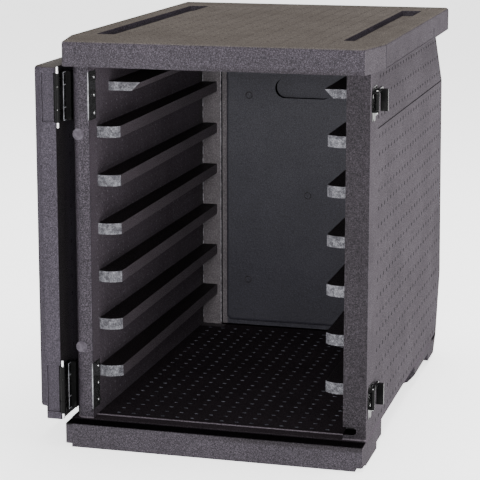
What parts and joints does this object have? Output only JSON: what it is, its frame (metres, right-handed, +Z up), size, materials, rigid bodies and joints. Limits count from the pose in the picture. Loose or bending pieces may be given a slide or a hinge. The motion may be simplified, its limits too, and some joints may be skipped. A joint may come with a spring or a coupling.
{
  "type": "insulated food carrier",
  "caption": "Front-loading insulated foam carrier for catering trays, with tray runners, side finger grips, stacking grooves and a hinged foam door folded back along its left side.",
  "frame": {"origin": "centre of the base, at the level of the flat underside", "axes": "+X to the carrier's right seen from its open front, -Y to the open front, +Z up"},
  "size_m": [0.5865, 0.7733, 0.687],
  "materials": {
    "black_foam": "moulded expanded foam bead, fine grain, matt",
    "door_foam": "moulded expanded foam bead, fine grain, matt",
    "black_plastic": "injection moulded, smooth",
    "bright_steel": "plain bright steel",
    "anchor_plastic": "plain moulded"
  },
  "bodies": {
    "carrier_body": {"body_shell": "black_foam", "left_rails": "black_foam", "right_rails": "black_foam", "upper_hinge_body_leaf": "black_plastic", "upper_hinge_clamp_plate": "black_plastic", "upper_hinge_post_screws": "bright_steel", "upper_hinge_pin": "bright_steel", "upper_latch_base": "black_plastic", "upper_latch_pin": "bright_steel", "upper_latch_screws": "bright_steel", "upper_latch_anchors": "anchor_plastic", "lower_hinge_body_leaf": "black_plastic", "lower_hinge_clamp_plate": "black_plastic", "lower_hinge_post_screws": "bright_steel", "lower_hinge_pin": "bright_steel", "lower_latch_base": "black_plastic", "lower_latch_pin": "bright_steel", "lower_latch_screws": "bright_steel", "lower_latch_anchors": "anchor_plastic"},
    "door": {"door_panel": "door_foam", "upper_hinge_door_leaf": "black_plastic", "upper_hinge_backing_plate": "black_plastic", "upper_hinge_door_screws": "bright_steel", "upper_catch": "black_plastic", "upper_catch_screws": "bright_steel", "upper_catch_anchors": "anchor_plastic", "lower_hinge_door_leaf": "black_plastic", "lower_hinge_backing_plate": "black_plastic", "lower_hinge_door_screws": "bright_steel", "lower_catch": "black_plastic", "lower_catch_screws": "bright_steel", "lower_catch_anchors": "anchor_plastic"},
    "upper_latch": {"upper_latch_arm": "black_plastic"},
    "lower_latch": {"lower_latch_arm": "black_plastic"}
  },
  "joints": [
    {"name": "door_hinge", "type": "hinge", "parent": "carrier_body", "child": "door", "pos_m": [-0.2575, -0.384, 0], "axis": [0, 0, 1], "range_deg": [0, 270]},
    {"name": "upper_latch_pivot", "type": "hinge", "parent": "carrier_body", "child": "upper_latch", "pos_m": [0.2595, -0.325, 0.597], "axis": [0, 0, -1], "range_deg": [0, 180]},
    {"name": "lower_latch_pivot", "type": "hinge", "parent": "carrier_body", "child": "lower_latch", "pos_m": [0.2595, -0.325, 0.105], "axis": [0, 0, -1], "range_deg": [0, 180]}
  ]
}
